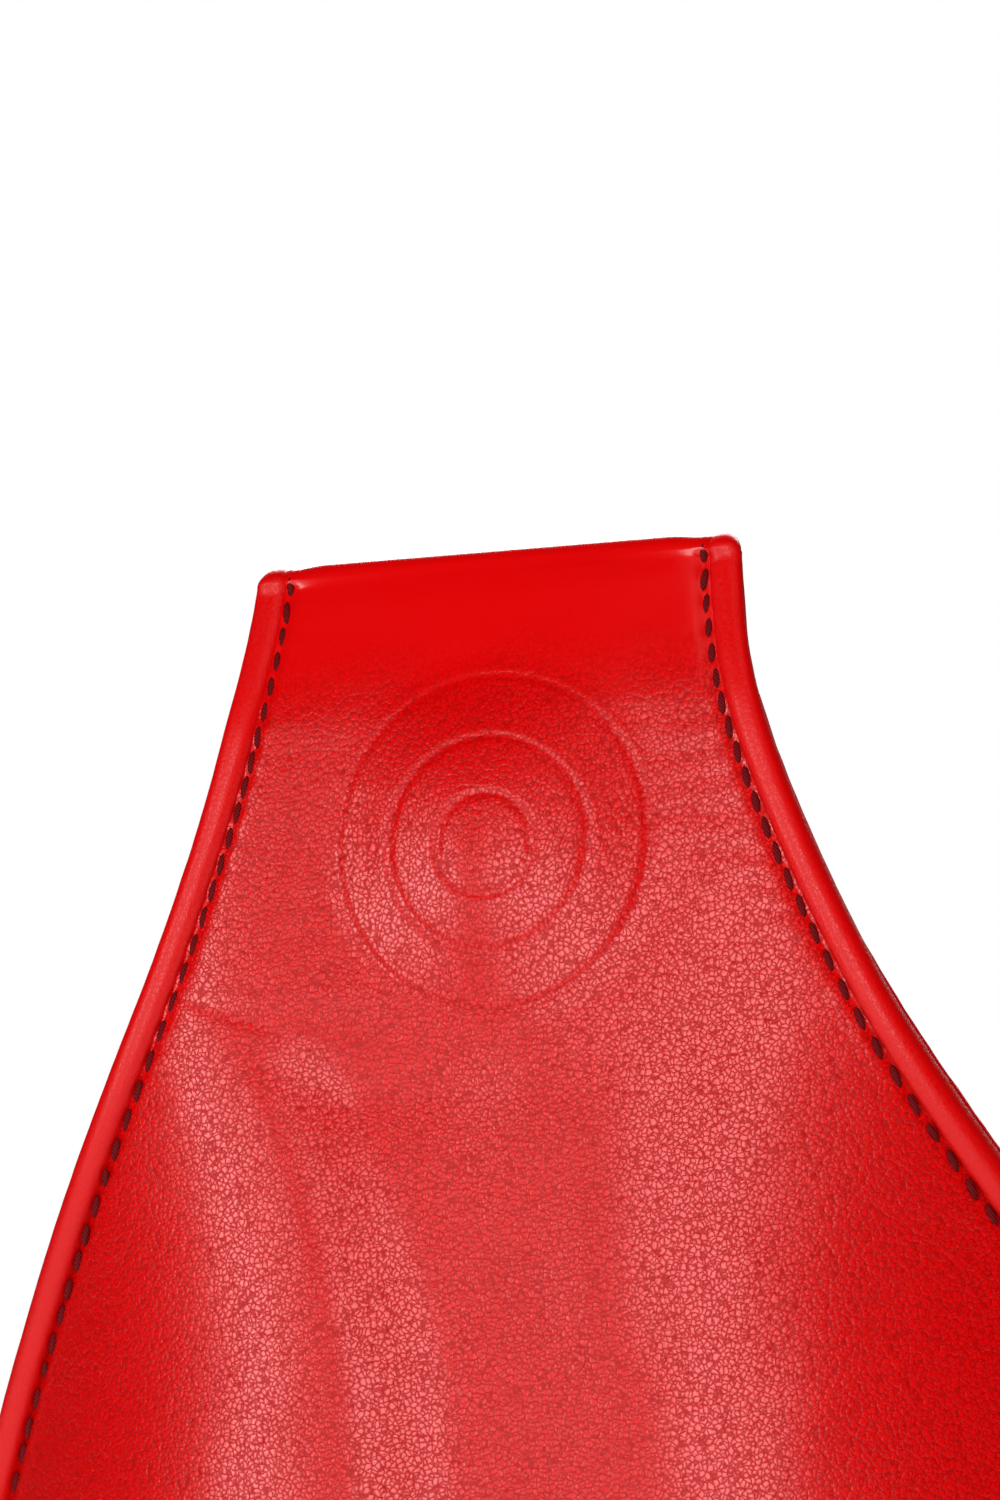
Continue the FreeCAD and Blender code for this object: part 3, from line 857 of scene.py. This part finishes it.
def makeCore():
    # the padding inside, split in two pieces of foam by the board
    rows = [r for r in faceRows if r[4] is not None and mitt["bodyTop"] + 2 <= r[4]][::4] + [faceRows[-1]]

    def makeLayer(name, near, far, nodes):
        def place(u, v):
            i = nearest(v, len(rows) + 2)
            closed = i in (0, len(rows) + 1)
            yRim, yCrown, z, half, drop, onFold = rows[min(max(i - 1, 0), len(rows) - 1)]
            back = backDepth(drop)
            angle = 2 * pi * u
            share = min(max(1.35 * cos(angle), -1), 1)
            level = near if sin(angle) > 0 else far
            level = (near + far) / 2 if abs(sin(angle)) < 0.05 else level
            lower = max(half - 4.0 - (0 if drop < widest else 2.0), 0.3)
            inner = lower - curveAt(backRows, 2, drop) * level * 1.1
            x = share * max(inner, 0.2)
            front = yRim + (yCrown - yRim) * crownShare(share * half, half) + 4.5
            if closed:
                level = (near + far) / 2
                x *= 0.98
            y = front + (back - 2.2 - front) * level
            return Vector((x, min(y, back - 1.6), z + (1.0 if drop > widest + 60 else 0.0)))

        layer = wrapGrid(name, 48, len(rows) + 1, place, merged=True)
        dressSoft(layer, "soft_foam", softFoam, 0.9, *nodes)

    makeLayer("faceFoam", 0.02, 0.46, ("face_foam",))
    makeLayer("coreFoam", 0.48, 0.97, ("core_foam", "backing_board", "palm_foam"))


makeGusset()
makeBackPanel()
makeBackBinding()
makeCore()
print("sides and back made")

# The hand pocket: share of its length, half width, height
pocket = {
    "centre": 0.0, "mouth": 0.0, "length": 145.0, "lean": 0.0, "puff": 1.1, "groove": 1.0,
    "seams": (34.0, 100.0),
    "rows": ((0.0, 52.0, 46.0), (0.28, 53.0, 46.9), (0.62, 49.9, 41.9), (0.86, 40.0, 32.2), (0.95, 31.0, 24.4),
             (1.0, 24.0, 18.2), (1.02, 19.5, 13.6), (1.032, 14.5, 7.5), (1.038, 11.0, 0.4)),
}
thumb = {
    "centre": 68.74, "mouth": -14.0, "length": 62.0, "lean": 8.0,
    "rows": ((0.0, 14.5, 27.0), (0.4, 14.5, 25.9), (0.8, 11.6, 19.4), (0.93, 9.2, 14.6), (1.0, 7.0, 11.0),
             (1.02, 5.2, 7.8), (1.035, 3.6, 4.0), (1.042, 2.6, 0.3)),
}
eyelets = {"rows": (58.0, 78.0), "turns": (70.0, 90.0, 110.0), "reach": 51.0, "seat": 5.2}


def eyeletSeat(p):
    # how near a point of the hand cover is to an eyelet, from 0 to 1
    best = min(hypot(p.x - eyelets["reach"] * cos(radians(turn)), p.z + below)
               for below in eyelets["rows"] for turn in eyelets["turns"])
    return 1 - ease(eyelets["seat"], eyelets["seat"] + 5, best)


def archPoint(form, share, angle, inset=0.0):
    a, b = curveAt(form["rows"], 1, share) - inset, curveAt(form["rows"], 2, share) - inset
    centre = form["centre"] + form["lean"] * min(share, 1.0)
    z = form["mouth"] - share * form["length"]
    if share > 1:
        z += inset
    return Vector((centre + max(a, 0.3) * cos(angle), max(b, 0.2) * sin(angle), z))


def handRelief(p, angle, share):
    below = -p.z
    groove = sum(bump(at, 1.3, below) for at in pocket["seams"])
    between = 1 - min(sum(bump(at, 9, below) for at in pocket["seams"]), 1)
    arch = sin(angle) ** 0.6 if angle not in (0, pi) else 0
    puff = pocket["puff"] * between * arch * (1 - ease(0.9, 1.0, share)) * ease(0.0, 0.06, share)
    tuck = 0.22 * rough(p.x / 2.6, p.y / 2.6, below / 9) * sum(bump(at, 4, below) for at in pocket["seams"])
    sway = 0.35 * rough(p.x / 22, p.y / 22, p.z / 22) + 0.12 * rough(p.x / 8, p.y / 8, p.z / 8)
    return (puff + sway * arch + tuck) * (1 - eyeletSeat(p)) - pocket["groove"] * groove * arch


def archSheet(name, form, inset, across, along, relief=None, end=1.0):
    last = form["rows"][-1][0] * end

    def place(u, v):
        angle = pi * u
        share = v * last
        p = archPoint(form, share, angle, inset)
        if relief:
            centre = Vector((form["centre"], 0, p.z))
            p += (p - centre).normalized() * relief(p, angle, share)
        return p

    sheet = wrapGrid(name, across, along, place)
    faceOut(sheet, (form["centre"], 0, -50))
    return sheet


def liningRelief(p, angle, share):
    return 0.25 * rough(p.x / 7, p.y / 7, p.z / 26)


def makeHandCover():
    cover = archSheet("handCover", pocket, 0.0, 90, 110, handRelief)
    thicken(cover, 1.3)
    dressSoft(cover, "red_leather", bodyLeather, 0.75, "hand_cover")
    padding = archSheet("knucklePadding", pocket, 1.9, 48, 60, end=0.97)
    thicken(padding, 3.2)
    dressSoft(padding, "soft_foam", softFoam, 0.9, "knuckle_padding")
    lining = archSheet("handLining", pocket, 5.6, 60, 70, liningRelief, end=0.965)
    thicken(lining, 0.8)
    dress(lining, liningCloth)
    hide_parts("hand_lining")


def archLine(form, share, inset, ends=0):
    # points over an arch, each with its way out
    line = []
    steps = 60
    for k in range(ends, steps + 1 - ends):
        angle = pi * k / steps
        out = Vector((cos(angle) / form["rows"][0][1], sin(angle) / form["rows"][0][2], 0)).normalized()
        line.append((archPoint(form, share, angle, inset), out))
    return line


def archRing(name, form, inset, lift, wide, high, node):
    # binding round the mouth of a sleeve, its ends closed
    path = [(p + Vector((0, 0, lift)), out, upward) for p, out in archLine(form, 0.0, inset)]
    dressEdge(sweep(name, path, wide, high, 18), node)


def archSeam(name, form, share, inset):
    sewLine(name, archLine(form, share, inset, 1), coverSeamLine)


coverSeamLine = {"pitch": 5.1, "long": 3.3, "wide": 1.0, "high": 1.0, "slant": 12}


def footWelt(name, form, wide):
    # the piping where a sleeve is sewn down on the back panel
    shares = [k / 40 * form["rows"][-1][0] for k in range(41)]
    right = [archPoint(form, share, 0.0) for share in shares]
    left = [archPoint(form, share, pi) for share in shares]
    points = right + left[::-1]
    path = []
    for i, p in enumerate(points):
        ahead, behind = points[min(i + 1, len(points) - 1)], points[max(i - 1, 0)]
        along = (ahead - behind).normalized()
        out = along.cross(handward).normalized()
        if out.dot(p - Vector((form["centre"], 0, -60))) < 0 and 0 < i < len(points) - 1:
            out = -out
        path.append((Vector((p.x, 0.9, p.z)) + out * 0.8, out, handward))
    dressEdge(sweep(name, path, wide, wide, 12))


def makePocket():
    makeHandCover()
    archRing("pocketMouthBinding", pocket, 3.1, 0.9, 3.9, 3.2, "pocket_mouth_binding")
    archSeam("mouthStitches", pocket, 0.033, -0.45)
    for i, below in enumerate(pocket["seams"]):
        archSeam("knuckleStitches%d" % (i + 1), pocket, below / pocket["length"], 0.9)
    footWelt("pocketWelt", pocket, 1.25)


def thumbRelief(p, angle, share):
    sway = 0.3 * rough(p.x / 12, p.y / 12, p.z / 12) + 0.1 * rough(p.x / 5, p.y / 5, p.z / 5)
    seam = bump(pi / 2, 0.05, angle)
    return sway * sin(angle) * (1 - ease(0.9, 1.0, share)) - 0.5 * seam


def makeThumb():
    sleeve = archSheet("thumbSleeve", thumb, 0.0, 48, 60, thumbRelief)
    thicken(sleeve, 1.3)
    dressSoft(sleeve, "red_leather", bodyLeather, 0.6, "thumb_sleeve")
    inner = archSheet("thumbLining", thumb, 1.5, 36, 40, end=0.96)
    thicken(inner, 1.4)
    dressSoft(inner, "lining_cloth", liningCloth, 0.8, "thumb_lining")
    archRing("thumbMouthBinding", thumb, 1.5, 1.2, 2.2, 2.6, "thumb_mouth_binding")
    archSeam("thumbStitches", thumb, 0.05, -0.05)
    footWelt("thumbWelt", thumb, 1.1)
    ridge = [(archPoint(thumb, k / 38, pi / 2, 0.35), Vector((0, 1, 0.1))) for k in range(3, 38)]
    sewLine("thumbRidgeStitches", ridge, coverSeamLine)


ball = {"radius": 27.0, "high": 16.0, "z": -52.0, "gores": 4}


def makeBall():
    sphere = (ball["radius"] ** 2 + ball["high"] ** 2) / (2 * ball["high"])
    reach = asin(ball["radius"] / sphere)

    def place(u, v):
        turn, tilt = 2 * pi * u, reach * (1 - v)
        gore = abs(sin(turn * ball["gores"] / 2))
        seam = bump(0, 0.9, gore * sphere * sin(tilt))
        puff = 0.45 * (gore - 0.5) * sin(pi * tilt / reach)
        r = sphere + (puff - 0.55 * seam) * (1 - bump(0, 0.12, tilt))
        r += 0.12 * rough(6 * cos(turn), 6 * sin(turn), 9 * tilt)
        return Vector((r * sin(tilt) * cos(turn), r * cos(tilt) - sphere + ball["high"],
                       ball["z"] + r * sin(tilt) * sin(turn)))

    cover = wrapGrid("palmBallCover", 96, 32, place, merged=True)
    faceOut(cover, (0, -20, ball["z"]))
    thicken(cover, 1.2)
    dressSoft(cover, "red_leather", bodyLeather, 0.95, "palm_ball_cover")
    outs = [Vector((cos(pi * k / 36), 0, sin(pi * k / 36))) for k in range(72)]
    path = [(Vector((0, 0.8, ball["z"])) + out * (ball["radius"] + 0.2), out, handward) for out in outs]
    dressEdge(sweep("ballWelt", path, 1.1, 1.1, 10, loop=True))
    for turn in range(2):
        line = []
        for k in range(1, 30):
            tilt = reach * (2 * k / 30 - 1)
            t = pi / 2 * turn
            way = Vector((sin(tilt) * cos(t), cos(tilt), sin(tilt) * sin(t)))
            line.append((Vector((0, ball["high"] - sphere, ball["z"])) + way * (sphere - 0.25), way))
        sewLine("ballStitches%d" % (turn + 1), line, coverSeamLine)


wristPad = {"half": 34.0, "high": 6.0, "low": 6.0, "tall": 20.0, "channels": (-11.3, 11.3), "pitch": 4.6,
            "seams": (-7.5, -2.5, 2.5, 7.5)}


def makePad():
    middle = wristPad["low"] + wristPad["tall"] / 2

    def place(u, v):
        s, t = 2 * u - 1, 2 * v - 1
        x, z = s * wristPad["half"], t * wristPad["tall"] / 2
        corner = max(0.0, 1 - abs(s) ** 8) ** 0.5 * max(0.0, 1 - abs(t) ** 4) ** 0.5
        z *= 1 - 0.10 * ease(0.86, 1, abs(s)) * ease(0.5, 1, abs(t))
        sunk = sum(bump(at, 1.6, x) for at in wristPad["channels"])
        y = wristPad["high"] * corner * (1 - 0.45 * sunk) + 0.12 * rough(x / 5, 2.0, z / 5) * corner
        return Vector((x, max(y, 0.05), middle + z))

    cover = wrapGrid("wristPad", 96, 40, place)
    faceOut(cover, (0, -20, middle))
    thicken(cover, 1.2)
    dressSoft(cover, "red_leather", bodyLeather, 0.8, "wrist_pad_cover", "wrist_pad_foam")
    path = []
    for k in range(96):
        t = pi * k / 48
        c, s = cos(t), sin(t)
        x = wristPad["half"] * squared(c, 0.22)
        z = middle + wristPad["tall"] / 2 * squared(s, 0.3)
        path.append((Vector((x, 0.7, z)), Vector((c, 0, s)), handward))
    dressEdge(sweep("padWelt", path, 0.9, 0.9, 10, loop=True))
    for i, x in enumerate(wristPad["channels"]):
        y = wristPad["high"] * 0.58
        line = [(Vector((x, y, middle + z)), handward) for z in wristPad["seams"]]
        sewLine("padStitches%d" % (i + 1), line, {**coverSeamLine, "pitch": wristPad["pitch"]})


makePocket()
makeThumb()
makeBall()
makePad()
print("hand side made")

strap = {
    "a": 47.0, "b": 52.0, "low": 8.0, "wide": 32.0, "thick": 2.3, "tipTurn": 60.0, "rootTurn": 176.0,
    "tipEnd": 8.0, "baseInset": 4.6, "baseThick": 2.2, "foot": 10.0, "seamInset": 2.6,
}
strapSeamLine = {"pitch": 4.4, "long": 2.9, "wide": 0.85, "high": 0.7, "slant": 0}


def archAt(turn, inset):
    a, b = strap["a"] - inset, strap["b"] - inset
    t = radians(turn)
    out = Vector((b * cos(t), a * sin(t), 0)).normalized()
    return Vector((a * cos(t), b * sin(t), 0)), out


def strapSheet(name, line, thick, body=None, rounded=0):
    # a strap along a line of (place, outward), its edges rounded; the line is its outer face
    rows = line[:1] + line + line[-1:]

    def place(u, v):
        i = nearest(v, len(rows))
        p, out = rows[i]
        fromEnd = len(rows) - 2 - min(i, len(rows) - 2)
        slim = 1 - 0.42 * (1 - fromEnd / rounded) ** 2 if fromEnd < rounded else 1
        t = 4 * u
        half = strap["wide"] / 2
        if t <= 1.8:
            s, depth = t / 0.9 - 1, 0.0
        elif t <= 2.0:
            s, depth = 1, (t - 1.8) / 0.2 * thick
        elif t <= 3.8:
            s, depth = 1 - (t - 2.0) / 0.9, thick
        else:
            s, depth = -1, (4 - t) / 0.2 * thick
        near = half - abs(s) * half
        tuck = thick * 0.45 * max(0.0, 1 - near / 1.2) ** 2
        depth = min(max(depth, tuck), thick - tuck)
        press = 0.3 * bump(strap["seamInset"], 0.8, near) if 0 < i < len(rows) - 1 else 0
        depth = depth + press if depth < thick / 2 else depth
        if i in (0, len(rows) - 1):
            depth = thick / 2
        return p - out * depth + Vector((0, 0, strap["low"] + half + s * half * slim))

    obj = wrapGrid(name, 40, len(rows) - 1, place, merged=True)
    return dress(obj, bodyLeather, body)


def strapStitches(name, line, body):
    for side in (-1, 1):
        z = strap["low"] + strap["wide"] / 2 + side * (strap["wide"] / 2 - strap["seamInset"])
        points = [(p + Vector((0, 0, z)) - out * 0.2, out) for p, out in line]
        word = "High" if side > 0 else "Low"
        sewLine(name + word, points, strapSeamLine, body)


def footStitches(name, x):
    # the row of stitches across a sewn foot
    sewLine(name, [(Vector((x, 1.55, z)), handward) for z in (10.0, 24.0, 38.0)], strapSeamLine)


def footLine(start, end, side):
    # the sewn foot and the bend up from it, on the right (1) or the left (-1)
    line = [(Vector((start - side * k * 1.2, 1.45, 0)), handward) for k in range(7)]
    for k in range(6):
        t = radians(15 * k)
        line.append((Vector((end - side * sin(t) * 0.6, 2.0 - cos(t) * 0.6, 0)), Vector((side * sin(t), cos(t), 0))))
    return line


def makeWristStrap():
    a = strap["a"]
    line = footLine(-a - strap["foot"] + 2, -a - 0.6, -1)
    turn = strap["rootTurn"] + 0.2
    arch = []
    while turn > strap["tipTurn"] + 3:
        arch.append(archAt(turn, 0.0))
        turn -= 1.5
    body = strapSheet("wristStrap", line + arch, strap["thick"] - 0.1)
    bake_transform(body)
    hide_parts("wrist_strap", "strap_anchor")
    strapStitches("strapStitches", arch[4:-5], "strap")
    footStitches("anchorStitches", -a - strap["foot"] + 4.2)


def makeStrapTip():
    line = []
    turn = strap["tipTurn"] + 9
    while turn > strap["tipEnd"]:
        lap = -(strap["thick"] + 0.1) * ease(strap["tipTurn"] - 4, strap["tipTurn"] + 3, turn)
        line.append(archAt(turn, lap))
        turn -= 1.5
    tip = strapSheet("strapTip", line, strap["thick"] - 0.2, rounded=7)
    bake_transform(tip)
    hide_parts("strap_tip")
    strapStitches("tipStitches", line[9:-4], "strap_end")
    across = [(line[3][0] + Vector((0, 0, z)) - line[3][1] * 0.1, line[3][1]) for z in (11.0, 24.0, 37.0)]
    sewLine("lapStitches", across, strapSeamLine, "strap")


def makeStrapBase():
    inset = strap["baseInset"]
    x = strap["a"] - inset
    line = footLine(x + strap["foot"] - 1.5, x + 0.9, 1)
    turn = 4.0
    while turn < strap["tipTurn"]:
        line.append(archAt(turn, inset))
        turn += 1.5
    base = strapSheet("strapBase", line, strap["baseThick"] - 0.1, "mitt")
    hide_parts("strap_base")
    footStitches("baseFootStitches", x + strap["foot"] - 3.6)


# pieces that keep the shape from the CAD
carriedOver = {"vent_eyelets": eyeletMetal, "strap_lining": liningCloth, "hook_patch": hookTape,
               "loop_patch": loopTape, "palm_ball_foam": softFoam}


def makeFloor():
    pick()
    bpy.ops.mesh.primitive_circle_add(vertices=96, radius=1.3, fill_type="NGON",
                                      location=(0, 0, cadBounds[0][2] - 0.004))
    floor = bpy.context.object
    floor.name = "floor"
    s = Shader("paleFloor")
    s.set({"Base Color": (0.86, 0.86, 0.86, 1), "Roughness": 0.7})
    floor.data.materials.append(s.material)


world = {"seen": 1.0, "lit": 0.01}
# name, azimuth, elevation, width, height, brightness
boxDistance = 1.7
softBoxes = (
    ("mainBox", -7.5, 8.0, 0.66, 0.74, 4.7),
    ("sideBox", -40.5, 8.0, 0.32, 0.74, 7.0),
    ("fillBox", 16.0, 36.0, 1.2, 1.1, 4.1),
    ("backBox", 185.0, 32.0, 1.3, 1.0, 5.0),
    ("rearFillBox", 215.0, 28.0, 1.3, 1.2, 4.2),
)


def makeWorld():
    sky = bpy.data.worlds.new("studio")
    bpy.context.scene.world = sky
    sky.use_nodes = True
    nodes, links = sky.node_tree.nodes, sky.node_tree.links
    path, mix = nodes.new("ShaderNodeLightPath"), nodes.new("ShaderNodeMix")
    mix.data_type = "FLOAT"
    mix.inputs[2].default_value = world["lit"]
    mix.inputs[3].default_value = world["seen"]
    links.new(path.outputs["Is Camera Ray"], mix.inputs[0])
    links.new(mix.outputs[0], nodes["Background"].inputs["Strength"])
    nodes["Background"].inputs["Color"].default_value = (1, 1, 1, 1)


def towards(azimuth, elevation):
    a, e = radians(azimuth), radians(elevation)
    return Vector((sin(a) * cos(e), -cos(a) * cos(e), sin(e)))


def makeLights():
    target = Vector((0, -0.02, 0.03))
    for name, azimuth, elevation, width, height, bright in softBoxes:
        way = towards(azimuth, elevation)
        light = bpy.data.lights.new(name, "AREA")
        light.shape = "RECTANGLE"
        light.size, light.size_y = width, height
        light.energy = bright * pi * width * height
        lamp = bpy.data.objects.new(name, light)
        lamp.location = target + way * boxDistance
        lamp.rotation_euler = way.to_track_quat("Z", "Y").to_euler()
        lamp.visible_glossy = not name.lower().endswith("fillbox")
        bpy.context.collection.objects.link(lamp)


camera = {"azimuth": 20.0, "elevation": 0.25, "roll": -4.28, "distance": 1.2, "lens": 194.84,
          "target": (-0.00174, -0.015, 0.08284)}


def makeCamera():
    back = towards(camera["azimuth"], camera["elevation"])
    lens = bpy.data.cameras.new("camera")
    lens.lens = camera["lens"]
    lens.clip_start = 0.01
    shot = bpy.data.objects.new("camera", lens)
    shot.location = Vector(camera["target"]) + back * camera["distance"]
    turn = back.to_track_quat("Z", "Y").to_matrix() @ Matrix.Rotation(radians(camera["roll"]), 3, "Z")
    shot.rotation_euler = turn.to_euler()
    bpy.context.collection.objects.link(shot)
    bpy.context.scene.camera = shot


makeWristStrap()
makeStrapTip()
makeStrapBase()
for node, material in carriedOver.items():
    coat(bpy.data.objects[node], material)
print("straps made")
bpy.context.scene.view_settings.view_transform = "Standard"
makeFloor()
makeWorld()
makeLights()
makeCamera()
print("studio made")
